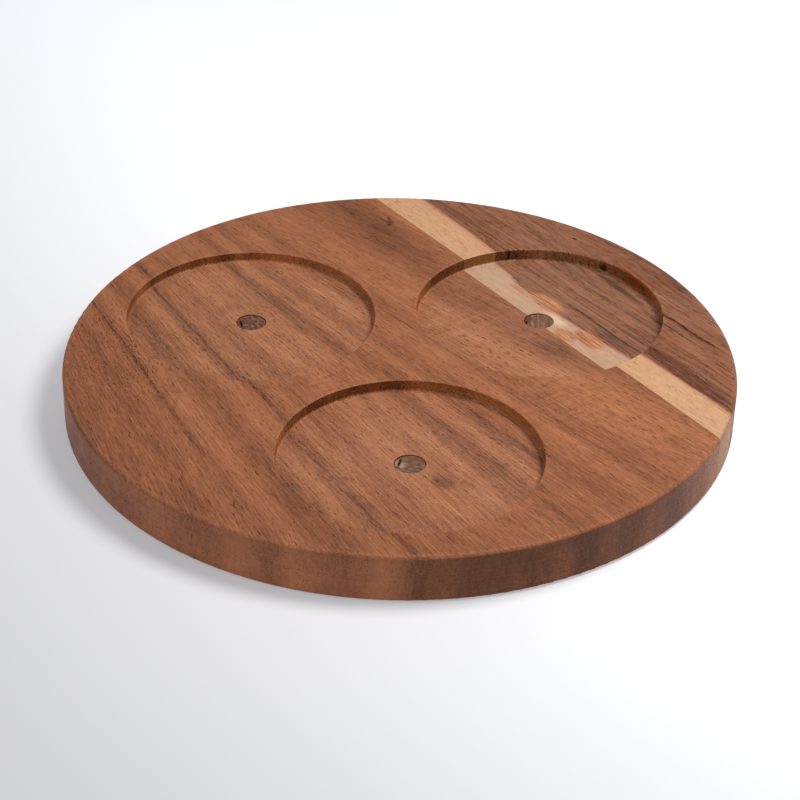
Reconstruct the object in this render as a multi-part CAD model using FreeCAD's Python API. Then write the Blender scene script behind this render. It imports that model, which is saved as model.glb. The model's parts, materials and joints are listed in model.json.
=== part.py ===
import FreeCAD, Part
import math
import os

# Round offering plate in solid wood: two edge-glued boards with three shallow round wells, and a
# wood plug let into the middle of each well's floor.
# Millimetres. The origin is the centre of the underside, +Z is up and the grain runs along Y.

# Wells. The plate's diameter follows from them, its rim and the webs between them.
well_diameter = 102.4
rim_width = 14.7  # from a well to the plate's edge
web_width = 17.4  # between two wells
well_lip_round = 0.5
well_floor_fillet = 1.0

# Plate
plate_thickness = 20.0
edge_round = 1.5  # on both edges of the rim

# Boards. The glue line passes under the right well's plug, and leans towards +X at its -Y end.
glue_line_offset = 1.1  # from the plug's centre, towards the middle of the plate
glue_line_lean = 2.1  # degrees off the grain

# Plugs and the blind holes they are glued into
plug_hole_diameter = 12.5
plug_clearance = 0.05  # all round
plug_recess = 0.4  # below the well's floor
plug_edge_chamfer = 0.3
wood_under_plug = 6.0  # from the bottom of the hole to the underside
split_depth = 2.0

# Each well was bored by hand to its own depth, and each plug has dried to its own split:
# its length and width, its distance from the plug's centre, and the side that it is on.
wells = {
    "right": {"angle": 0.0, "depth": 5.3, "split": (2.6, 0.35, 5.2, 155.0)},
    "left": {"angle": 120.0, "depth": 4.3, "split": (5.4, 0.75, 4.2, 158.0)},
    "front": {"angle": 240.0, "depth": 5.0, "split": (6.4, 0.6, 4.1, 134.0)},
}

well_radius = well_diameter / 2
well_circle_radius = (well_diameter + web_width) / (2 * math.sin(math.pi / len(wells)))
plate_radius = well_circle_radius + well_radius + rim_width
plug_hole_radius = plug_hole_diameter / 2
plug_radius = plug_hole_radius - plug_clearance
spare = 5.0  # how far a cutting solid runs past what it cuts

vertical = FreeCAD.Vector(0, 0, 1)


def quarter_round(r, z, radius, start, end):
    """A quarter circle in the XZ plane about (r, z), between two directions in degrees."""
    places = []
    for angle in (start, (start + end) / 2, end):
        turn = math.radians(angle)
        places.append(FreeCAD.Vector(r + radius * math.cos(turn), 0, z + radius * math.sin(turn)))
    return Part.Arc(*places).toShape()


def turned(edges):
    """The solid that a half section makes round the Z axis. Straight runs join its quarter rounds."""
    outline = []
    for this, after in zip(edges, edges[1:] + edges[:1]):
        outline.append(this)
        start, end = this.lastVertex(True).Point, after.firstVertex(True).Point
        if start.distanceToPoint(end) > 1e-6:
            outline.append(Part.LineSegment(start, end).toShape())
    return Part.Face(Part.Wire(outline)).revolve(FreeCAD.Vector(), vertical, 360)


def line(r_start, z_start, r_end, z_end):
    start, end = FreeCAD.Vector(r_start, 0, z_start), FreeCAD.Vector(r_end, 0, z_end)
    return Part.LineSegment(start, end).toShape()


def plate_blank():
    """The plate's outer shape, with both edges of the rim eased."""
    bottom = quarter_round(plate_radius - edge_round, edge_round, edge_round, -90, 0)
    top = quarter_round(plate_radius - edge_round, plate_thickness - edge_round, edge_round, 0, 90)
    return turned([bottom, top, line(0, plate_thickness, 0, 0)])


def well_centre(well):
    turn = math.radians(well["angle"])
    return FreeCAD.Vector(well_circle_radius * math.cos(turn), well_circle_radius * math.sin(turn), 0)


def well_floor(well):
    return plate_thickness - well["depth"]


def well_space(well):
    """What the cutter takes out: a flat floor, a small fillet, an upright wall and an eased lip."""
    floor, above = well_floor(well), plate_thickness + spare
    fillet = quarter_round(well_radius - well_floor_fillet, floor + well_floor_fillet, well_floor_fillet, -90, 0)
    lip = quarter_round(well_radius + well_lip_round, plate_thickness - well_lip_round, well_lip_round, 180, 90)
    mouth = line(well_radius + well_lip_round, above, 0, above)
    space = turned([fillet, lip, mouth, line(0, above, 0, floor)])
    space.translate(well_centre(well))
    return space


def plug_hole(well):
    place = well_centre(well) + FreeCAD.Vector(0, 0, wood_under_plug)
    return Part.makeCylinder(plug_hole_radius, plate_thickness - wood_under_plug, place, vertical)


def board_side(side):
    """Everything on one side of the glue line: -1 is the main board's side, 1 the sapwood board's."""
    reach = 2 * plate_radius + spare
    block = Part.makeBox(reach, 2 * reach, plate_thickness + 2 * spare)
    block.translate(FreeCAD.Vector(0 if side > 0 else -reach, -reach, -spare))
    block.rotate(FreeCAD.Vector(), vertical, glue_line_lean)
    block.translate(well_centre(wells["right"]) - FreeCAD.Vector(glue_line_offset, 0, 0))
    return block


def plug_split(well, top):
    """The lens-shaped drying split in a plug's face, its ends towards the plug's edge."""
    length, width, distance, side = well["split"]
    half = length / 2
    ends = [FreeCAD.Vector(distance, half, 0), FreeCAD.Vector(distance, -half, 0)]
    outer, inner = FreeCAD.Vector(distance + width / 2, 0, 0), FreeCAD.Vector(distance - width / 2, 0, 0)
    arcs = [Part.Arc(ends[0], outer, ends[1]).toShape(), Part.Arc(ends[1], inner, ends[0]).toShape()]
    split = Part.Face(Part.Wire(arcs)).extrude(FreeCAD.Vector(0, 0, split_depth + spare))
    split.rotate(FreeCAD.Vector(), vertical, side)
    split.translate(well_centre(well) + FreeCAD.Vector(0, 0, top - split_depth))
    return split


def well_plug(well):
    """A plug that stands on the bottom of its hole and ends just under the well's floor."""
    top = well_floor(well) - plug_recess
    place = well_centre(well) + FreeCAD.Vector(0, 0, wood_under_plug)
    plug = Part.makeCylinder(plug_radius, top - wood_under_plug, place, vertical)
    rim = [e for e in plug.Edges if e.Closed and abs(e.CenterOfMass.z - top) < 1e-6]
    return plug.makeChamfer(plug_edge_chamfer, rim).cut(plug_split(well, top))


cutters = [well_space(well) for well in wells.values()] + [plug_hole(well) for well in wells.values()]
plate = plate_blank().cut(cutters)

pieces = {
    "main_board": plate.common(board_side(-1)),
    "sapwood_board": plate.common(board_side(1)),
}
for name, well in wells.items():
    pieces[name + "_well_plug"] = well_plug(well)

os.makedirs("parts", exist_ok=True)
for name, piece in pieces.items():
    solids = piece.Solids
    if len(solids) != 1 or not solids[0].isValid():
        raise ValueError(name + " isn't one sound solid")
    solids[0].exportStep("parts/" + name + ".step")
    print(name, round(solids[0].Volume), "mm3")
print("plate", round(2 * plate_radius, 2), "mm across, wells on a radius of", round(well_circle_radius, 2))
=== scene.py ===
import bpy
import json
import math
from mathutils import Matrix, Vector


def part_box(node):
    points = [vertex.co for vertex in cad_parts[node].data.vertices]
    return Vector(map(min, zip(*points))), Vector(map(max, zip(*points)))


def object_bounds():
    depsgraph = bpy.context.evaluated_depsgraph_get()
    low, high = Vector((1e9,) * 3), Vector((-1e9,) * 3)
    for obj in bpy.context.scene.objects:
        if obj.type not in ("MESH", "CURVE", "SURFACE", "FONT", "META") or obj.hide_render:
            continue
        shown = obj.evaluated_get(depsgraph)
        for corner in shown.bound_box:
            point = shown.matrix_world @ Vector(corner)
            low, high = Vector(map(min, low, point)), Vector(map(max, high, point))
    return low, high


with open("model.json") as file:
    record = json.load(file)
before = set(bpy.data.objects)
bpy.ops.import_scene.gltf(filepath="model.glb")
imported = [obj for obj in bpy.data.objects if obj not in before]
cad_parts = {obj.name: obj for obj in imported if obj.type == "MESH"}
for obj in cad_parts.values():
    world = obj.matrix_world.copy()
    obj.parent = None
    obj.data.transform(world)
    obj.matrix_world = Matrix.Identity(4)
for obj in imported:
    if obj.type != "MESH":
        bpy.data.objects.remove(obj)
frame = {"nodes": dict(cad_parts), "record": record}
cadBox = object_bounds()

# Looks for a round wooden offering plate: two glued boards, three wells and the plug in each well.
# The frame is in metres. Everything about the wood itself is in millimetres.
nodes = frame["nodes"]
perMetre = 1000.0  # millimetres
print("frame:", ", ".join(sorted(nodes)))


# What a node tree is put together with

def setInput(tree, socket, value):
    if isinstance(value, bpy.types.NodeSocket):
        tree.links.new(value, socket)
    else:
        socket.default_value = value


def addNode(tree, kind, settings=None, **values):
    made = tree.nodes.new("ShaderNode" + kind)
    for name, value in (settings or {}).items():
        setattr(made, name, value)
    for name, value in values.items():
        setInput(tree, made.inputs[name], value)
    return made


def maths(tree, operation, *values):
    made = addNode(tree, "Math", {"operation": operation})
    for socket, value in zip(made.inputs, values):
        setInput(tree, socket, value)
    return made.outputs[0]


def plus(tree, first, second):
    return maths(tree, "ADD", first, second)


def minus(tree, first, second):
    return maths(tree, "SUBTRACT", first, second)


def times(tree, first, second):
    return maths(tree, "MULTIPLY", first, second)


def over(tree, first, second):
    return maths(tree, "DIVIDE", first, second)


def scaled(tree, value, scale, shift):
    return maths(tree, "MULTIPLY_ADD", value, scale, shift)


def opposite(tree, mask):
    return minus(tree, 1.0, mask)


def total(tree, values):
    sumSoFar = values[0]
    for value in values[1:]:
        sumSoFar = plus(tree, sumSoFar, value)
    return sumSoFar


def weighted(tree, layers, weights):  # the named layers added up, each with its weight
    return total(tree, [times(tree, layers[name], weight) for name, weight in weights.items()])


def ramp(tree, value, start, end, low=0.0, high=1.0):  # smooth step from low at start to high at end
    made = addNode(tree, "MapRange", {"interpolation_type": "SMOOTHSTEP"}, **{
        "Value": value, "From Min": start, "From Max": end, "To Min": low, "To Max": high})
    return made.outputs[0]


def vectorMaths(tree, operation, *values):
    made = addNode(tree, "VectorMath", {"operation": operation})
    for socket, value in zip(made.inputs, values):
        setInput(tree, socket, value)
    return made.outputs["Value" if operation in ("LENGTH", "DOT_PRODUCT") else "Vector"]


def axes(tree, vector):
    return addNode(tree, "SeparateXYZ", Vector=vector).outputs


def joined(tree, x=0.0, y=0.0, z=0.0):
    return addNode(tree, "CombineXYZ", X=x, Y=y, Z=z).outputs[0]


def turned(tree, vector, degrees):
    made = addNode(tree, "VectorRotate", {"rotation_type": "Z_AXIS"}, Vector=vector,
                   Angle=math.radians(degrees))
    return made.outputs[0]


def colour(code):  # "b0784f" as a linear colour
    parts = [int(code[place:place + 2], 16) / 255 for place in (0, 2, 4)]
    return [part / 12.92 if part <= 0.04045 else ((part + 0.055) / 1.055) ** 2.4 for part in parts] + [1.0]


def mixColour(tree, factor, first, second, blend="MIX"):
    made = addNode(tree, "Mix", {"data_type": "RGBA", "blend_type": blend, "clamp_factor": True})
    setInput(tree, made.inputs[0], factor)
    for socket, value in zip(made.inputs[6:8], (first, second)):
        setInput(tree, socket, colour(value) if isinstance(value, str) else value)
    return made.outputs[2]


def colourRamp(tree, value, stops):
    made = addNode(tree, "ValToRGB", Fac=value)
    elements = made.color_ramp.elements
    elements.remove(elements[1])
    for count, (place, code) in enumerate(stops):
        element = elements[0] if count == 0 else elements.new(place)
        element.position = place
        element.color = colour(code)
    return made.outputs[0]


def curveThrough(tree, value, start, end, points):  # smooth, through (place, value) points within -1 to 1
    along = addNode(tree, "MapRange", **{"Value": value, "From Min": start, "From Max": end})
    made = addNode(tree, "FloatCurve", Value=along.outputs[0])
    curve = made.mapping.curves[0]
    made.mapping.use_clip = False
    while len(curve.points) > 2:
        curve.points.remove(curve.points[1])
    for count, (place, height) in enumerate(points):
        spot = ((place - start) / (end - start), 0.5 + height / 2)
        if count < 2:
            curve.points[count].location = spot
        else:
            curve.points.new(*spot)
    made.mapping.update()
    return scaled(tree, made.outputs[0], 2.0, -1.0)


def newGroup(name, inputs, outputName, outputKind="Float"):
    tree = bpy.data.node_groups.new(name, "ShaderNodeTree")
    for socketName, start in inputs.items():
        kind = "NodeSocketVector" if start is None else "NodeSocketFloat"
        socket = tree.interface.new_socket(socketName, in_out="INPUT", socket_type=kind)
        if start is not None:
            socket.default_value = start
    tree.interface.new_socket(outputName, in_out="OUTPUT", socket_type="NodeSocket" + outputKind)
    given = tree.nodes.new("NodeGroupInput").outputs
    out = tree.nodes.new("NodeGroupOutput").inputs[outputName]
    return tree, given, out


def useGroup(tree, name, **values):
    return addNode(tree, "Group", {"node_tree": groups[name]}, **values).outputs[0]


def newMaterial(name):
    material = bpy.data.materials.new(name)
    material.use_nodes = True
    tree = material.node_tree
    tree.nodes.clear()
    shader = addNode(tree, "BsdfPrincipled")
    addNode(tree, "OutputMaterial", Surface=shader.outputs[0])
    return material, tree, shader


# Effects that every piece of wood shares

def makeMillimetres():
    tree, given, out = newGroup("millimetres", {"Vector": None}, "Place", "Vector")
    made = addNode(tree, "VectorMath", {"operation": "SCALE"}, Vector=given["Vector"], Scale=perMetre)
    setInput(tree, out, made.outputs[0])
    return tree


def makeFannedGrain():
    # Growth lines that meet far beyond the board's edge, and waver a little on their way
    inputs = {"Place": None, "Fan X": 0.0, "Fan Y": 1000.0, "Waver": 1.0, "Seed": 0.0}
    tree, given, out = newGroup("fannedGrain", inputs, "Grain", "Vector")
    waverSize = (28.0, 75.0, 45.0)
    parts = axes(tree, given["Place"])
    closing = opposite(tree, over(tree, parts["Y"], given["Fan Y"]))
    offset = over(tree, minus(tree, parts["X"], given["Fan X"]), closing)
    across = plus(tree, offset, given["Fan X"])
    stretched = vectorMaths(tree, "DIVIDE", given["Place"], waverSize)
    wander = addNode(tree, "TexNoise", {"noise_dimensions": "4D"}, Vector=stretched, W=given["Seed"],
                     Scale=1.0, Detail=2.0, Roughness=0.45).outputs[0]
    shift = times(tree, minus(tree, wander, 0.5), given["Waver"])
    setInput(tree, out, joined(tree, plus(tree, across, shift), parts["Y"], parts["Z"]))
    return tree


def makeStreaks():
    # Noise drawn out along the grain, about -1 to 1
    inputs = {"Grain": None, "Across": 5.0, "Along": 100.0, "Deep": 30.0, "Detail": 3.0, "Seed": 0.0}
    tree, given, out = newGroup("streaks", inputs, "Tone")
    size = joined(tree, given["Across"], given["Along"], given["Deep"])
    stretched = vectorMaths(tree, "DIVIDE", given["Grain"], size)
    noise = addNode(tree, "TexNoise", {"noise_dimensions": "4D"}, Vector=stretched, W=given["Seed"],
                    Scale=1.0, Detail=given["Detail"], Roughness=0.55)
    setInput(tree, out, scaled(tree, noise.outputs[0], 4.0, -2.0))
    return tree


def makePores():
    # Open pores: short slots along the grain, round dots where the end grain shows
    inputs = {"Grain": None, "Apart": 1.2, "Length": 4.0, "Width": 0.3, "Share": 0.5, "Seed": 0.0}
    tree, given, out = newGroup("pores", inputs, "Mask")
    endToEnd = 1.5  # spacing along a pore, in its lengths
    behind = 1.7  # spacing into the wood, in pore widths
    smallest, spread = 0.5, 0.6  # sizes, as shares of the full length and width
    cell = joined(tree, given["Apart"], times(tree, given["Length"], endToEnd),
                  times(tree, given["Width"], behind))
    place = vectorMaths(tree, "ADD", vectorMaths(tree, "DIVIDE", given["Grain"], cell), given["Seed"])
    voronoi = addNode(tree, "TexVoronoi", Vector=place, Scale=1.0, Randomness=1.0)
    chance = addNode(tree, "SeparateColor", Color=voronoi.outputs["Color"]).outputs
    fromMiddle = vectorMaths(tree, "SUBTRACT", place, voronoi.outputs["Position"])
    inPlace = vectorMaths(tree, "MULTIPLY", fromMiddle, cell)
    halfWidth = times(tree, given["Width"], 0.5)
    half = joined(tree, halfWidth, times(tree, given["Length"], 0.5), halfWidth)
    reach = vectorMaths(tree, "LENGTH", vectorMaths(tree, "DIVIDE", inPlace, half))
    size = scaled(tree, chance[0], spread, smallest)
    slot = ramp(tree, over(tree, reach, size), 1.0, 0.45)
    isOpen = maths(tree, "LESS_THAN", chance[1], given["Share"])
    setInput(tree, out, times(tree, slot, isOpen))
    return tree


def makeGrainLine():
    # One dark growth line: a soft stripe full of short dark strokes, between two places along the grain
    inputs = {"Grain": None, "Across": 0.0, "Width": 1.0, "From": -200.0, "To": 200.0, "Seed": 0.0}
    tree, given, out = newGroup("grainLine", inputs, "Mask")
    fade = 8.0  # how softly it starts and ends
    wanderBy = 0.3
    faintest = 0.15  # between its strokes
    parts = axes(tree, given["Grain"])
    wander = useGroup(tree, "streaks", Grain=given["Grain"], Across=20.0, Along=16.0, Deep=20.0,
                      Detail=2.0, Seed=given["Seed"])
    strokes = useGroup(tree, "streaks", Grain=given["Grain"], Across=0.5, Along=2.6, Deep=0.7,
                       Detail=2.0, Seed=given["Seed"])
    offset = scaled(tree, wander, wanderBy, minus(tree, parts["X"], given["Across"]))
    distance = over(tree, maths(tree, "ABSOLUTE", offset), given["Width"])
    stripe = maths(tree, "POWER", ramp(tree, distance, 1.6, 0.0), 1.6)
    stroke = ramp(tree, plus(tree, strokes, times(tree, stripe, 0.7)), 0.25, 0.8)
    line = times(tree, stripe, scaled(tree, stroke, 1.0 - faintest, faintest))
    start = ramp(tree, minus(tree, parts["Y"], given["From"]), -fade, fade)
    end = ramp(tree, minus(tree, given["To"], parts["Y"]), -fade, fade)
    setInput(tree, out, times(tree, line, times(tree, start, end)))
    return tree


def makeSpot():
    # A soft patch round one place
    tree, given, out = newGroup("spot", {"Place": None, "Middle": None, "Reach": None}, "Mask")
    fromMiddle = vectorMaths(tree, "SUBTRACT", given["Place"], given["Middle"])
    reach = vectorMaths(tree, "LENGTH", vectorMaths(tree, "DIVIDE", fromMiddle, given["Reach"]))
    setInput(tree, out, ramp(tree, reach, 1.0, 0.2))
    return tree


def makeEndGrain():
    # Where the surface cuts across the fibres, which all run along Y
    tree, given, out = newGroup("endGrain", {"Normal": None}, "Mask")
    along = maths(tree, "ABSOLUTE", axes(tree, given["Normal"])["Y"])
    setInput(tree, out, ramp(tree, along, 0.78, 0.96))
    return tree


def makeLevelFace():
    # Faces that lie level, where growth lines show sharply
    tree, given, out = newGroup("levelFace", {"Normal": None}, "Mask")
    upwards = maths(tree, "ABSOLUTE", axes(tree, given["Normal"])["Z"])
    setInput(tree, out, ramp(tree, upwards, 0.4, 0.9))
    return tree


def makeBoredWall():
    # The upright walls of the wells, where the oil has soaked in deepest
    inputs = {"Place": None, "Normal": None, "Top": 20.0, "Reach": 120.0}
    tree, given, out = newGroup("boredWall", inputs, "Mask")
    height = axes(tree, given["Place"])["Z"]
    below = ramp(tree, minus(tree, given["Top"], height), 0.2, 0.8)
    level = vectorMaths(tree, "MULTIPLY", given["Place"], (1.0, 1.0, 0.0))
    inside = maths(tree, "LESS_THAN", vectorMaths(tree, "LENGTH", level), given["Reach"])
    upright = opposite(tree, useGroup(tree, "levelFace", Normal=given["Normal"]))
    setInput(tree, out, times(tree, upright, times(tree, below, inside)))
    return tree


def makeBareFloor():
    # The wells' floors, which were never sanded and oiled as the top was
    tree, given, out = newGroup("bareFloor", {"Place": None, "Normal": None, "Top": 20.0}, "Mask")
    height = axes(tree, given["Place"])["Z"]
    upwards = axes(tree, given["Normal"])["Z"]
    below = ramp(tree, minus(tree, given["Top"], height), 2.0, 3.0)
    setInput(tree, out, times(tree, below, ramp(tree, upwards, 0.5, 0.9)))
    return tree


def makeWornEdge():
    # A narrow rubbed line round a circular edge
    inputs = {"Place": None, "Middle": None, "Radius": 50.0, "Height": 20.0, "Width": 1.0}
    tree, given, out = newGroup("wornEdge", inputs, "Mask")
    fromMiddle = vectorMaths(tree, "SUBTRACT", given["Place"], given["Middle"])
    level = vectorMaths(tree, "MULTIPLY", fromMiddle, (1.0, 1.0, 0.0))
    reach = maths(tree, "ABSOLUTE", minus(tree, vectorMaths(tree, "LENGTH", level), given["Radius"]))
    drop = maths(tree, "ABSOLUTE", minus(tree, given["Height"], axes(tree, given["Place"])["Z"]))
    rubbed = useGroup(tree, "streaks", Grain=given["Place"], Across=4.0, Along=4.0, Deep=4.0,
                      Detail=4.0, Seed=51.0)
    near = ramp(tree, over(tree, reach, given["Width"]), 1.0, 0.2)
    high = ramp(tree, over(tree, drop, given["Width"]), 1.0, 0.2)
    setInput(tree, out, times(tree, times(tree, near, high), ramp(tree, rubbed, -0.6, 0.5, 0.3, 1.0)))
    return tree


def makeKnotFlow():
    # Grain that parts round a knot
    inputs = {"Place": None, "Knot": None, "Push": 4.0, "Aside": 12.0, "Along": 24.0}
    tree, given, out = newGroup("knotFlow", inputs, "Place", "Vector")
    parts = axes(tree, vectorMaths(tree, "SUBTRACT", given["Place"], given["Knot"]))
    aside = maths(tree, "ABSOLUTE", parts["X"])
    along = over(tree, parts["Y"], given["Along"])
    distance = plus(tree, over(tree, aside, given["Aside"]), times(tree, along, along))
    fall = maths(tree, "EXPONENT", times(tree, distance, -1.0))
    side = over(tree, parts["X"], plus(tree, aside, 1.5))
    shift = times(tree, times(tree, side, fall), given["Push"])
    moved = joined(tree, times(tree, shift, -1.0))
    setInput(tree, out, vectorMaths(tree, "ADD", given["Place"], moved))
    return tree


groups = {}
groups["millimetres"] = makeMillimetres()
groups["fannedGrain"] = makeFannedGrain()
groups["streaks"] = makeStreaks()
groups["pores"] = makePores()
groups["grainLine"] = makeGrainLine()
groups["spot"] = makeSpot()
groups["endGrain"] = makeEndGrain()
groups["levelFace"] = makeLevelFace()
groups["boredWall"] = makeBoredWall()
groups["bareFloor"] = makeBareFloor()
groups["wornEdge"] = makeWornEdge()
groups["knotFlow"] = makeKnotFlow()
print("wood effects:", ", ".join(groups))


def placeOn(tree):  # where a point of the surface is, in millimetres, and which way it faces
    coordinates = addNode(tree, "TexCoord").outputs
    return useGroup(tree, "millimetres", Vector=coordinates["Object"]), coordinates["Normal"]


def spotAt(tree, place, middle, reach):
    return useGroup(tree, "spot", Place=place, Middle=middle, Reach=reach)


def spotsAt(tree, place, zones):
    return total(tree, [spotAt(tree, place, *zone) for zone in zones])


def streaksOf(tree, grain, across, along, deep, seed, detail=3.0):
    return useGroup(tree, "streaks", Grain=grain, Across=across, Along=along, Deep=deep, Seed=seed,
                    Detail=detail)


def poresOf(tree, grain, apart, length, width, share, seed):
    return useGroup(tree, "pores", Grain=grain, Apart=apart, Length=length, Width=width, Share=share,
                    Seed=seed)


def linesOf(tree, grain, lines, seed):  # growth lines, each with its own seed
    made = []
    for count, (across, width, start, end, darkness) in enumerate(lines):
        line = useGroup(tree, "grainLine", Grain=grain, Across=across, Width=width, From=start, To=end,
                        Seed=seed + count)
        made.append(times(tree, line, darkness))
    return total(tree, made)


def addSpots(tree, place, tone, spots, edge):  # lighter or darker patches, each with its own tone
    for middle, reach, change in spots:
        spot = times(tree, spotAt(tree, place, middle, reach), change)
        tone = plus(tree, tone, times(tree, spot, edge))
    return tone


def rampPlace(tree, tone, middle=0.5):  # where a tone of about -1 to 1 lies on a colour ramp
    return scaled(tree, tone, 0.6, middle)


# The plate's own edges, from the frame
plate = {
    "top": cadBox[1].z * perMetre,
    "radius": cadBox[1].x * perMetre,
    "edgeRound": 1.5,
    "lipRound": 0.4,
    "wells": [(tuple(value * perMetre for value in mount["pos_m"][:2]), mount["dims"]["r_mm"])
              for mount in frame["record"]["mounts"] if mount["name"].endswith("_well")],
}


def bareFloorOf(tree, place, normal):
    return useGroup(tree, "bareFloor", Place=place, Normal=normal, Top=plate["top"])


def boredWallOf(tree, place, normal):
    insideRim = plate["radius"] - 5.0
    return useGroup(tree, "boredWall", Place=place, Normal=normal, Top=plate["top"], Reach=insideRim)


def rubbedEdges(tree, place):
    rings = [((0.0, 0.0), plate["radius"] - plate["edgeRound"], finish["rimWear"])]
    rings += [(middle, radius + plate["lipRound"], finish["lipWear"]) for middle, radius in plate["wells"]]
    masks = []
    for (x, y), radius, width in rings:
        masks.append(useGroup(tree, "wornEdge", Place=place, Middle=(x, y, 0.0), Radius=radius,
                              Height=plate["top"], Width=width))
    return total(tree, masks)


finish = {
    "oiled": 0.5,  # roughness of the sanded and oiled top
    "roughness": {"bare": 0.14, "pores": 0.2, "sheen": 0.05, "fibres": 0.04},  # what is rougher than it
    "sheenStreaks": (14.0, 14.0, 14.0, 61.0),
    "height": {"fibres": 0.25, "pores": -1.0},
    "poreDepth": 0.0002,  # metres
    "gloss": 0.2,
    "endGrain": -0.35,  # tone of the end grain
    "rimWear": 1.4,  # how far the rubbing reaches
    "lipWear": 0.8,
    "rubbed": 0.07,
    "sawStreaks": (60.0, 60.0, 0.8, 63.0),
    "soakedTint": "fffad6",
    "soaked": {"wall": 1.0, "endGrain": 0.5},  # where the oil went in
}


def sawMarks(tree, place, normal):  # faint level lines round the rim
    marks = streaksOf(tree, place, *finish["sawStreaks"])
    return times(tree, marks, opposite(tree, useGroup(tree, "levelFace", Normal=normal)))


def soakWood(tree, tint, layers):
    return mixColour(tree, weighted(tree, layers, finish["soaked"]), tint, finish["soakedTint"], "MULTIPLY")


def finishWood(tree, shader, tint, place, layers):
    layers["sheen"] = streaksOf(tree, place, *finish["sheenStreaks"])
    roughness = weighted(tree, layers, finish["roughness"])
    height = weighted(tree, layers, finish["height"])
    bump = addNode(tree, "Bump", Strength=1.0, Distance=finish["poreDepth"], Height=height)
    setInput(tree, shader.inputs["Base Color"], tint)
    setInput(tree, shader.inputs["Roughness"], plus(tree, roughness, finish["oiled"]))
    setInput(tree, shader.inputs["Normal"], bump.outputs[0])
    shader.inputs["Specular IOR Level"].default_value = finish["gloss"]


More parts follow.
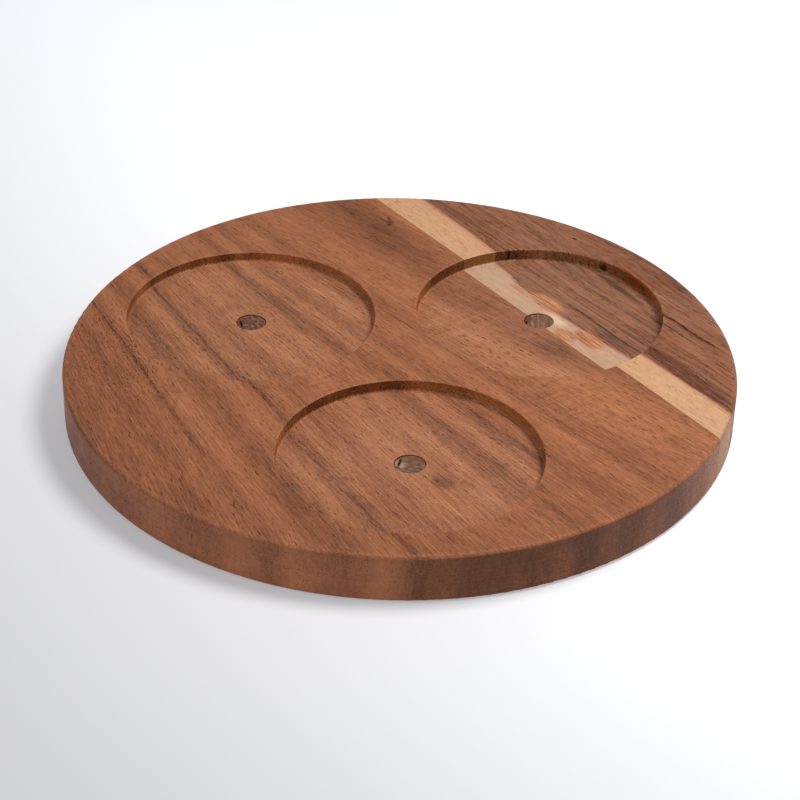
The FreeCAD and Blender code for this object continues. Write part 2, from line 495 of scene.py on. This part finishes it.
# Main board: reddish heartwood
mainBoard = {
    "fan": {"Fan X": -38.0, "Fan Y": 454.0, "Waver": 3.0, "Seed": 1.0},  # where the growth lines would meet
    "streaks": {  # size across the grain, along it and into the wood, seed, detail
        "patches": (12.0, 26.0, 30.0, 8.0),
        "wide": (8.0, 110.0, 40.0, 2.0),
        "narrow": (2.4, 40.0, 10.0, 3.0),
        "thin": (1.0, 14.0, 4.0, 5.0),
        "clouds": (24.0, 40.0, 40.0, 6.0),
        "fibres": (0.45, 6.0, 0.7, 4.0, 2.0),
        "hair": (0.65, 18.0, 2.0, 11.0),
        "grit": (0.42, 0.6, 0.42, 9.0, 2.0),
        "speckle": (0.6, 0.6, 0.6, 12.0),
        "ripple": (9.0, 1.5, 9.0, 7.0),
    },
    "bandsSpan": (-140.0, 90.0),
    "bandsWaver": 1.2,
    "bands": [  # light and dark across the grain
        (-135, -0.24), (-121, -0.1), (-112, -0.18), (-104, -0.02), (-99, -0.16), (-92, 0.12), (-86, -0.06),
        (-80, -0.16), (-69, 0.12), (-62, -0.14), (-55, 0.02), (-48, -0.06), (-36, 0.1), (-27, 0.0),
        (-22, 0.1), (-13, -0.17), (-5, 0.14), (1, -0.1), (12, 0.1), (20, -0.06), (29, 0.08), (45, 0.12),
        (58, -0.14), (70, -0.08), (85, 0.08)],
    "bandsStrength": {"patches": 0.5, "bare": 0.3, "worn": -0.4, "everywhere": 0.85},
    "crispGrain": {"fibres": 0.23, "hair": 0.15, "grit": 0.15},
    "rimCrispness": 0.5,
    "tone": {
        "bands": 1.0, "wide": 0.05, "narrow": 0.06, "thin": 0.08, "clouds": 0.06, "patches": 0.05,
        "speckle": 0.34, "bare": 0.02, "crisp": 1.0, "dryGrain": 0.13, "sawMarks": 0.07, "ripples": 0.16},
    "lines": [  # across, width, from, to, darkness
        (-99.3, 1.3, -20, 130, 0.32), (-61.8, 1.2, 0, 140, 0.44), (-61.8, 1.6, -120, 5, 0.22),
        (17.7, 1.5, -130, 30, 0.18), (-6.0, 1.0, 5, 70, 0.28), (2.0, 1.2, -90, -40, 0.38),
        (-27.5, 0.8, 10, 45, 0.3), (-50.0, 0.8, -10, 60, 0.2), (30.0, 0.9, -60, 40, 0.18)],
    "linesSeed": 10.0,
    "linesOnRim": 0.2,
    "pores": {  # apart, length, width, share that is open, seed
        "coarse": (1.2, 3.6, 0.52, 0.6, 20.0),
        "pits": (0.85, 1.1, 0.5, 0.9, 21.0),
        "scattered": (0.8, 3.6, 0.32, 0.8, 22.0),
    },
    "coarse": [  # where the big dark pores crowd: middle, reach
        ((-61, 50, 16), (7, 70, 20)), ((5, -62, 15), (7, 26, 8)), ((-30, 30, 16), (12, 22, 8)),
        ((42, -10, 15), (20, 34, 8)), ((-90, 60, 20), (9, 50, 20))],
    "coarseShare": (0.9, 0.15),  # what a crowd adds, and what shows everywhere
    "pitted": ((-100, 70, 18), (48, 75, 30)),
    "worn": ((-30, -130, 20), (130, 75, 30)),  # pores filled and rubbed smooth; the same patch also carries painted shade, darker towards the front of the top
    "wornPores": 0.6,
    # the worn patch's share of this darkening is painted shade on the front of the top
    "poreTone": {"pores": 0.7, "coarse": 0.3, "dryPores": 0.15, "worn": 0.09},
    "rippled": [((-35, 0, 20), (34, 14, 12)), ((40, -60, 20), (34, 36, 14)), ((45, 20, 18), (34, 40, 14))],
    "spots": [  # middle, reach, tone
        ((52, 112, 20), (15, 70, 20), -0.24), ((57.5, 96, 20), (2.2, 3.0, 3), -0.3),
        ((58.5, 99, 20), (1.1, 2.4, 3), -0.4), ((55.5, 94, 20), (1.6, 1.2, 3), -0.4),
        ((-37, 74, 16), (9, 5, 4), -0.16), ((60, -22, 15), (11, 13, 5), -0.2),
        ((-31, -76, 15), (5.5, 8.0, 3), -0.42), ((-72, 30, 16), (7, 9, 6), -0.14),
        ((-10, -78, 15), (16, 9, 6), -0.08), ((-100, -70, 20), (50, 65, 30), -0.09),
        ((2, -60, 15), (18, 34, 6), -0.13), ((-20, 60, 15), (15, 30, 6), -0.06),
        ((-35, -93, 15), (24, 14, 5), 0.12)],
    "spotEdge": {"patches": 0.3, "fibres": 0.4, "everywhere": 1.0},
    "tones": [(0.0, "2a160e"), (0.26, "6a3e28"), (0.5, "995f3f"), (0.74, "b77952"), (1.0, "d09a70")],
    "dust": {"patches": 0.05, "everywhere": 0.07},
    "dustTint": "c09c86",
}


def makeHeartwood():
    material, tree, shader = newMaterial("heartwood")
    place, normal = placeOn(tree)
    grain = useGroup(tree, "fannedGrain", Place=place, **mainBoard["fan"])
    layers = {name: streaksOf(tree, grain, *size) for name, size in mainBoard["streaks"].items()}
    layers["everywhere"] = 1.0
    layers["endGrain"] = useGroup(tree, "endGrain", Normal=normal)
    levelFace = useGroup(tree, "levelFace", Normal=normal)
    wall = boredWallOf(tree, place, normal)
    bare = bareFloorOf(tree, place, normal)
    worn = spotAt(tree, place, *mainBoard["worn"])
    layers.update({"wall": wall, "bare": bare, "worn": worn})

    bandsAcross = scaled(tree, layers["patches"], mainBoard["bandsWaver"], axes(tree, grain)["X"])
    bands = curveThrough(tree, bandsAcross, *mainBoard["bandsSpan"], mainBoard["bands"])
    layers["bands"] = times(tree, bands, weighted(tree, layers, mainBoard["bandsStrength"]))
    rim = minus(tree, opposite(tree, levelFace), wall)
    crisp = scaled(tree, rim, -mainBoard["rimCrispness"], 1.0)
    layers["crisp"] = times(tree, crisp, weighted(tree, layers, mainBoard["crispGrain"]))
    layers["speckle"] = times(tree, wall, layers["speckle"])
    layers["dryGrain"] = times(tree, bare, plus(tree, layers["grit"], layers["hair"]))
    layers["sawMarks"] = sawMarks(tree, place, normal)
    layers["ripples"] = times(tree, spotsAt(tree, place, mainBoard["rippled"]), layers["ripple"])
    tone = weighted(tree, layers, mainBoard["tone"])
    tone = addSpots(tree, place, tone, mainBoard["spots"], weighted(tree, layers, mainBoard["spotEdge"]))

    lines = linesOf(tree, grain, mainBoard["lines"], mainBoard["linesSeed"])
    faint = mainBoard["linesOnRim"]
    tone = minus(tree, tone, times(tree, lines, scaled(tree, levelFace, 1.0 - faint, faint)))

    pores = {name: poresOf(tree, grain, *size) for name, size in mainBoard["pores"].items()}
    crowd = scaled(tree, spotsAt(tree, place, mainBoard["coarse"]), *mainBoard["coarseShare"])
    coarse = times(tree, pores["coarse"], crowd)
    pits = times(tree, pores["pits"], spotAt(tree, place, *mainBoard["pitted"]))
    scattered = times(tree, pores["scattered"], ramp(tree, layers["patches"], -0.9, 0.7, 0.35, 1.25))
    stillOpen = scaled(tree, worn, -mainBoard["wornPores"], 1.0)
    layers["coarse"] = coarse
    layers["pores"] = times(tree, stillOpen, total(tree, [scattered, coarse, pits]))
    layers["dryPores"] = times(tree, layers["pores"], bare)
    # Open pores darken the tone, and the worn front patch adds painted shade here
    tone = minus(tree, tone, weighted(tree, layers, mainBoard["poreTone"]))
    tone = plus(tree, tone, times(tree, layers["endGrain"], finish["endGrain"]))
    tone = plus(tree, tone, times(tree, rubbedEdges(tree, place), finish["rubbed"]))

    tint = colourRamp(tree, rampPlace(tree, tone), mainBoard["tones"])
    dust = times(tree, bare, weighted(tree, layers, mainBoard["dust"]))
    tint = mixColour(tree, dust, tint, mainBoard["dustTint"])
    finishWood(tree, shader, soakWood(tree, tint, layers), place, layers)
    return material


# Narrow board: pale sapwood beside the glue line, then darker streaked heartwood with a knot in it
sapwoodBoard = {
    "fan": {"Fan X": -5.0, "Fan Y": 2000.0, "Waver": 2.0, "Seed": 21.0},
    "streaks": {  # size across the grain, along it and into the wood, seed, detail
        "soft": (5.0, 70.0, 30.0, 22.0),
        "fine": (1.5, 26.0, 6.0, 23.0),
        "thin": (0.7, 15.0, 3.0, 24.0),
        "fibres": (0.45, 6.0, 0.7, 25.0, 2.0),
        "hair": (0.6, 22.0, 2.0, 35.0),
        "mottle": (2.0, 3.0, 2.5, 26.0),
        "grit": (0.42, 0.6, 0.42, 27.0, 2.0),
        "speckle": (0.6, 0.6, 0.6, 36.0),
        "ruddy": (2.5, 50.0, 15.0, 34.0),
    },
    "pores": [(0.7, 4.2, 0.32, 0.8, 28.0), (1.7, 4.0, 0.55, 0.4, 29.0)],  # apart, length, width, share, seed
    "sapEdge": [(-130, 4.5), (-50, 1.2), (-20, -2.2), (15, -4.4), (45, -1.8), (80, -1.2), (130, -3.0)],
    "sapEdgeSpan": (-140.0, 140.0),
    "sapEdgeX": 83.0,  # what the sapwood's edge swings about, and the most that it swings
    "sapEdgeSwing": 10.0,
    "raggedEdge": {"pastEdge": 1.0, "fine": 0.7, "fibres": 0.25, "mottle": 0.35},
    "fringe": 0.55,
    "knot": {"Knot": (118.0, 20.0, 17.0), "Push": 5.0, "Aside": 9.0, "Along": 22.0},
    "knotCore": ((118.0, 20.0, 17.0), (2.6, 4.5, 2.8)),
    "lines": [  # across, width, from, to, darkness
        (88.1, 0.9, -50, 4, 0.8), (109.6, 1.1, -66, -24, 0.9), (97.0, 0.9, -50, 20, 0.3),
        (104.5, 1.0, -60, 40, 0.3), (93.5, 0.8, -100, 60, 0.3), (91.5, 0.8, 30, 120, 0.25)],
    "linesSeed": 30.0,
    "spots": [  # middle, reach, tone
        ((90, -72, 20), (8, 52, 16), -0.3), ((114.3, 4, 15), (2.4, 24, 5), -0.4),
        ((99, -32, 15), (7, 15, 4), -0.2), ((86, -30, 15), (5, 18, 4), -0.2),
        ((87.5, 48, 18), (0.9, 2, 3), -1.4), ((129, -2, 20), (12, 50, 12), -0.17),
        ((86, 90, 20), (5, 40, 14), -0.1)],
    "spotEdge": {"mottle": 0.5, "fine": 0.6, "everywhere": 1.0},
    "orange": [  # middle, reach, strength
        ((71.5, -15, 14.7), (6, 9, 6), 0.9), ((78, -23, 14.7), (7, 13, 6), 0.95),
        ((80.5, 10, 14.7), (6, 15, 4), 0.85), ((77, 26, 14.7), (2.4, 9, 4), 0.6)],
    "pale": [((76, -3, 14.7), (4.5, 10, 4), 0.75), ((73, 30, 14.7), (9, 30, 4), 0.05)],
    "amber": ((120.5, -2, 17), (5.5, 26, 4.2)),
    "olive": ((106, 34, 16), (5, 34, 8)),
    "oliveStrength": 0.55,
    "heartTone": {
        "soft": 0.1, "fine": 0.17, "thin": 0.14, "hair": 0.28, "fibres": 0.16, "mottle": 0.06,
        "grit": 0.1, "speckle": 0.25, "sawMarks": 0.1, "everywhere": -0.05},
    "heartDetail": {"lines": -1.0, "pores": -0.5, "core": -1.6, "edges": 1.0},
    # In the sapwood, levelFace with everywhere is painted shade: upright faces such as the rim are 0.5
    # darker than level ones
    "sapTone": {
        "soft": 0.07, "fine": 0.08, "thin": 0.05, "hair": 0.12, "fibres": 0.16, "mottle": 0.05,
        "grit": 0.14, "pores": -0.26, "speckle": 0.2, "endGrain": -0.3, "edges": 0.5, "bare": -0.1,
        "levelFace": 0.5, "everywhere": -0.52},
    "orangeTone": {"sap": 0.5, "thin": 0.2, "hair": 0.34, "fibres": 0.24, "pores": -0.4},
    "ragged": {"thin": 0.5, "hair": 0.6, "fine": 0.5, "fibres": 0.3, "everywhere": 1.6},
    "tones": [(0.0, "2c180e"), (0.28, "603b28"), (0.5, "906047"), (0.75, "a97657"), (1.0, "c0916f")],
    "sapTones": [(0.0, "84543a"), (0.3, "b28560"), (0.5, "ca9c76"), (0.7, "d9ae8a"), (1.0, "efd8bc")],
    "orangeTones": [(0.15, "663a22"), (0.4, "9e643f"), (0.6, "be8258"), (0.85, "e2b08a")],
    "amberTint": "9c5424",
    "amberShades": [(0.1, "40302a"), (0.5, "e4e0dc"), (0.8, "ffffff")],
    "oliveTint": "8a6a52",
    "oliveShades": [(0.1, "4a4038"), (0.5, "dcd8d4"), (0.8, "ffffff")],
    "ruddyTint": "ffe6d0",
    "fringeTint": "b87250",
    "dustTint": "b29e92",
    "dust": (0.05, 0.36),  # on the heartwood, and on the sapwood
}


def makeStreakedHeart(tree, place, layers):
    layers["lines"] = linesOf(tree, layers["grain"], sapwoodBoard["lines"], sapwoodBoard["linesSeed"])
    layers["core"] = spotAt(tree, place, *sapwoodBoard["knotCore"])
    tone = weighted(tree, layers, sapwoodBoard["heartTone"])
    spotEdge = weighted(tree, layers, sapwoodBoard["spotEdge"])
    tone = addSpots(tree, place, tone, sapwoodBoard["spots"], spotEdge)
    tone = plus(tree, tone, weighted(tree, layers, sapwoodBoard["heartDetail"]))
    tone = plus(tree, tone, times(tree, layers["endGrain"], finish["endGrain"]))
    step = rampPlace(tree, tone)
    heart = colourRamp(tree, step, sapwoodBoard["tones"])
    ruddy = ramp(tree, layers["ruddy"], -0.3, 0.7)
    heart = mixColour(tree, ruddy, heart, sapwoodBoard["ruddyTint"], "MULTIPLY")
    oliveShades = colourRamp(tree, step, sapwoodBoard["oliveShades"])
    oliveWood = mixColour(tree, 1.0, sapwoodBoard["oliveTint"], oliveShades, "MULTIPLY")
    olive = times(tree, spotAt(tree, place, *sapwoodBoard["olive"]), sapwoodBoard["oliveStrength"])
    heart = mixColour(tree, olive, heart, oliveWood)
    amberShades = colourRamp(tree, step, sapwoodBoard["amberShades"])
    amberWood = mixColour(tree, 1.0, sapwoodBoard["amberTint"], amberShades, "MULTIPLY")
    amber = times(tree, spotAt(tree, place, *sapwoodBoard["amber"]), opposite(tree, layers["core"]))
    return mixColour(tree, amber, heart, amberWood)


def makeSapwoodBoard():
    material, tree, shader = newMaterial("sapwoodAndHeart")
    place, normal = placeOn(tree)
    parted = useGroup(tree, "knotFlow", Place=place, **sapwoodBoard["knot"])
    grain = useGroup(tree, "fannedGrain", Place=parted, **sapwoodBoard["fan"])
    layers = {name: streaksOf(tree, grain, *size) for name, size in sapwoodBoard["streaks"].items()}
    layers["grain"] = grain
    layers["everywhere"] = 1.0
    layers["pores"] = total(tree, [poresOf(tree, grain, *size) for size in sapwoodBoard["pores"]])
    layers["endGrain"] = useGroup(tree, "endGrain", Normal=normal)
    layers["levelFace"] = useGroup(tree, "levelFace", Normal=normal)
    layers["wall"] = boredWallOf(tree, place, normal)
    layers["bare"] = bareFloorOf(tree, place, normal)
    layers["speckle"] = times(tree, layers["wall"], layers["speckle"])
    layers["sawMarks"] = sawMarks(tree, place, normal)
    layers["edges"] = times(tree, rubbedEdges(tree, place), finish["rubbed"])
    heart = makeStreakedHeart(tree, place, layers)

    sapTone = weighted(tree, layers, sapwoodBoard["sapTone"])
    sapTone = addSpots(tree, place, sapTone, sapwoodBoard["pale"], 1.0)
    layers["sap"] = sapTone
    sap = colourRamp(tree, rampPlace(tree, sapTone), sapwoodBoard["sapTones"])

    # The sapwood's ragged outer edge
    swing = sapwoodBoard["sapEdgeSwing"]
    swings = [(y, x / swing) for y, x in sapwoodBoard["sapEdge"]]
    onBoard = axes(tree, place)
    sapEdge = curveThrough(tree, onBoard["Y"], *sapwoodBoard["sapEdgeSpan"], swings)
    sapEdge = scaled(tree, sapEdge, swing, sapwoodBoard["sapEdgeX"])
    layers["pastEdge"] = minus(tree, onBoard["X"], sapEdge)
    past = weighted(tree, layers, sapwoodBoard["raggedEdge"])
    fringe = times(tree, ramp(tree, past, -2.2, -0.2), sapwoodBoard["fringe"])
    sap = mixColour(tree, fringe, sap, sapwoodBoard["fringeTint"])
    tint = mixColour(tree, ramp(tree, past, -0.5, 0.7), sap, heart)
    dust = times(tree, layers["bare"], ramp(tree, past, 0.7, -0.5, *sapwoodBoard["dust"]))
    tint = mixColour(tree, dust, tint, sapwoodBoard["dustTint"])

    # Orange blots where heartwood colour runs into the sapwood
    orangeTone = weighted(tree, layers, sapwoodBoard["orangeTone"])
    orangeWood = colourRamp(tree, rampPlace(tree, orangeTone, 0.55), sapwoodBoard["orangeTones"])
    ragged = weighted(tree, layers, sapwoodBoard["ragged"])
    for middle, reach, strength in sapwoodBoard["orange"]:
        blot = times(tree, spotAt(tree, place, middle, reach), ragged)
        tint = mixColour(tree, ramp(tree, blot, 0.2, 1.2, 0.0, strength), tint, orangeWood)
    finishWood(tree, shader, soakWood(tree, tint, layers), place, layers)
    return material


# Plugs: darker offcuts, each with its own grain direction and stains
plugWood = {
    "waver": 1.5,
    "streaks": {"fine": (0.9, 14.0, 6.0, 71.0), "fibres": (0.4, 4.0, 0.6, 72.0, 2.0),
                "mottle": (1.2, 1.6, 1.4, 73.0)},
    "pores": (0.8, 1.2, 0.32, 0.5, 74.0),
    "tone": {"fibres": 0.12, "pores": -0.3},
    "shadeWidth": 1.0,  # of the painted shadow that each plug's split sits in
    "shadeLength": 0.6,  # in lengths of the split
    "shadeTone": 0.9,
    "stainEdge": {"stain": 1.0, "mottle": 0.2, "fine": 0.2},
    "stainStrength": 0.75,
    "anyDepth": 50.0,
}

# A split is given by its side in degrees, its distance from the plug's middle, and its length
plugs = {
    "left": {
        "turn": 10.0,
        "tones": [(0.0, "1c0f09"), (0.3, "4a2c1d"), (0.5, "694331"), (0.8, "96705a")],
        "stain": {"middle": (-4.6, 1.5), "reach": (1.8, 5.0), "tint": "7a3f24"},
        "split": (158.0, 4.2, 5.4),
        "streaks": {"fine": 0.1, "mottle": 0.5},
    },
    "right": {
        "turn": 34.0,
        "tones": [(0.0, "24150e"), (0.3, "553528"), (0.5, "75513e"), (0.8, "a07a62")],
        "stain": {"middle": (-3.4, 3.8), "reach": (4.6, 3.0), "tint": "5e2e20"},
        "split": (155.0, 5.2, 2.6),
        "streaks": {"fine": 0.4, "mottle": 0.1},
    },
    "front": {
        "turn": -40.0,
        "tones": [(0.0, "20120c"), (0.3, "4e3226"), (0.5, "6e4c3b"), (0.8, "a07c68")],
        "stain": {"middle": (-3.0, 2.4), "reach": (3.2, 5.4), "tint": "ac8c78"},
        "split": (134.0, 4.1, 6.4),
        "streaks": {"fine": 0.2, "mottle": 0.24},
    },
}


def makePlugWood(name):
    plug = plugs[name]
    material, tree, shader = newMaterial(name + "PlugWood")
    place = placeOn(tree)[0]
    low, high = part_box(name + "_well_plug")
    middle = (low + high) * perMetre / 2
    centred = vectorMaths(tree, "SUBTRACT", place, (middle.x, middle.y, 0.0))
    grain = useGroup(tree, "fannedGrain", Place=turned(tree, centred, plug["turn"]),
                     Waver=plugWood["waver"], Seed=middle.x)
    layers = {part: streaksOf(tree, grain, *size) for part, size in plugWood["streaks"].items()}
    layers["pores"] = poresOf(tree, grain, *plugWood["pores"])
    layers["bare"] = 1.0
    tone = weighted(tree, layers, {**plug["streaks"], **plugWood["tone"]})

    splitSide, distance, length = plug["split"]
    # Painted shadow: a soft dark patch along the split, so that it looks wider and darker than the cut
    # itself
    facing = turned(tree, centred, -splitSide)
    shadeReach = (plugWood["shadeWidth"], length * plugWood["shadeLength"], plugWood["anyDepth"])
    shade = spotAt(tree, facing, (distance, 0.0, middle.z), shadeReach)
    tone = minus(tree, tone, times(tree, shade, plugWood["shadeTone"]))
    tint = colourRamp(tree, rampPlace(tree, tone), plug["tones"])

    stain = plug["stain"]
    stainReach = (*stain["reach"], plugWood["anyDepth"])
    layers["stain"] = spotAt(tree, centred, (*stain["middle"], middle.z), stainReach)
    stainEdge = weighted(tree, layers, plugWood["stainEdge"])
    stained = ramp(tree, stainEdge, 0.25, 0.95, 0.0, plugWood["stainStrength"])
    tint = mixColour(tree, times(tree, stained, opposite(tree, shade)), tint, stain["tint"])
    finishWood(tree, shader, tint, place, layers)
    return material


def giveMaterial(piece, material):
    for slot in piece.material_slots:
        slot.material = material


giveMaterial(nodes["main_board"], makeHeartwood())
giveMaterial(nodes["sapwood_board"], makeSapwoodBoard())
for plugName in plugs:
    giveMaterial(nodes[plugName + "_well_plug"], makePlugWood(plugName))
print("woods on their pieces")


# Floor, light and camera
viewpoint = {
    "azimuth": -33.8,  # degrees round the plate, from looking along +Y
    "elevation": 32.02,
    "distance": 0.9578,  # from the middle of the plate's top
    "tilt": 1.06,  # how far below the middle it looks
    "pan": -0.02,
    "roll": 1.3,
    "lens": 107.05,
}

studio = {
    "floorReach": 6.0,
    "floorGap": 0.0003,  # under the plate
    "paper": ("c9cbce", "cdcfd2"),
    "paperStreaks": (120.0, 120.0, 120.0, 41.0),
    "paperMottle": 0.1,
    "paperRoughness": 0.9,
    "glowTint": "f6f8ff",  # the lit sweep brightens to the right and away, per metre
    "glow": {"rightwards": 1.5, "away": 1.2, "from": -0.6, "to": 0.25, "least": 0.03, "most": 0.54},
    "sky": {"tint": "ecf0f6", "strength": 0.36},
    "key": {"place": (0.3, -0.165, 0.71), "size": 0.36, "power": 5.0, "tint": "fffaf4"},
    "fill": {"place": (-0.8, -0.04, 0.4), "size": 0.6, "power": 2.1, "tint": "fffaf4"},
}


def makePaper():
    material, tree, shader = newMaterial("floorPaper")
    place = placeOn(tree)[0]
    mottle = streaksOf(tree, place, *studio["paperStreaks"])
    tint = mixColour(tree, scaled(tree, mottle, studio["paperMottle"], 0.5), *studio["paper"])
    turn = math.radians(viewpoint["azimuth"])
    glow = studio["glow"]
    slope = Vector((math.cos(turn), math.sin(turn), 0)) * glow["rightwards"]
    slope += Vector((-math.sin(turn), math.cos(turn), 0)) * glow["away"]
    climb = vectorMaths(tree, "DOT_PRODUCT", place, slope / perMetre)
    strength = ramp(tree, climb, glow["from"], glow["to"], glow["least"], glow["most"])
    setInput(tree, shader.inputs["Base Color"], tint)
    setInput(tree, shader.inputs["Emission Color"], colour(studio["glowTint"]))
    setInput(tree, shader.inputs["Emission Strength"], strength)
    setInput(tree, shader.inputs["Roughness"], studio["paperRoughness"])
    # Clear from underneath, so that the plate's underside can be looked at
    shown = addNode(tree, "MixShader", {}, Fac=addNode(tree, "NewGeometry").outputs["Backfacing"])
    setInput(tree, shown.inputs[1], shader.outputs[0])
    setInput(tree, shown.inputs[2], addNode(tree, "BsdfTransparent").outputs[0])
    setInput(tree, tree.nodes["Material Output"].inputs["Surface"], shown.outputs[0])
    return material


def makeFloor():
    reach = studio["floorReach"]
    corners = [(x, y, -studio["floorGap"]) for x, y in (
        (-reach, -reach), (reach, -reach), (reach, reach), (-reach, reach))]
    mesh = bpy.data.meshes.new("floor")
    mesh.from_pydata(corners, [], [(0, 1, 2, 3)])
    mesh.materials.append(makePaper())
    floor = bpy.data.objects.new("floor", mesh)
    bpy.context.scene.collection.objects.link(floor)


def makeLight(name, light):
    data = bpy.data.lights.new(name, "AREA")
    data.shape = "DISK"
    data.size = light["size"]
    data.energy = light["power"]
    data.color = colour(light["tint"])[:3]
    lamp = bpy.data.objects.new(name, data)
    lamp.location = light["place"]
    lamp.rotation_euler = (-Vector(light["place"])).to_track_quat("-Z", "Y").to_euler()
    bpy.context.scene.collection.objects.link(lamp)


def makeSky():
    world = bpy.data.worlds.new("softRoom")
    world.use_nodes = True
    background = world.node_tree.nodes["Background"]
    background.inputs["Color"].default_value = colour(studio["sky"]["tint"])
    background.inputs["Strength"].default_value = studio["sky"]["strength"]
    bpy.context.scene.world = world


def makeCamera():
    azimuth = math.radians(viewpoint["azimuth"])
    elevation = math.radians(viewpoint["elevation"])
    level = math.cos(elevation)
    back = Vector((math.sin(azimuth) * level, -math.cos(azimuth) * level, math.sin(elevation)))
    topMiddle = Vector((0, 0, cadBox[1].z))
    data = bpy.data.cameras.new("camera")
    data.lens = viewpoint["lens"]
    data.clip_start = 0.01
    data.clip_end = 50.0
    camera = bpy.data.objects.new("camera", data)
    turn = Matrix.Rotation(azimuth + math.radians(viewpoint["pan"]), 4, "Z")
    lower = Matrix.Rotation(math.radians(90) - elevation - math.radians(viewpoint["tilt"]), 4, "X")
    roll = Matrix.Rotation(math.radians(viewpoint["roll"]), 4, "Z")
    place = Matrix.Translation(topMiddle + back * viewpoint["distance"])
    camera.matrix_world = place @ turn @ lower @ roll
    bpy.context.scene.collection.objects.link(camera)
    bpy.context.scene.camera = camera


makeFloor()
makeSky()
makeLight("keyLight", studio["key"])
makeLight("fillLight", studio["fill"])
makeCamera()
bpy.context.scene.view_settings.view_transform = "Standard"
print("studio ready")
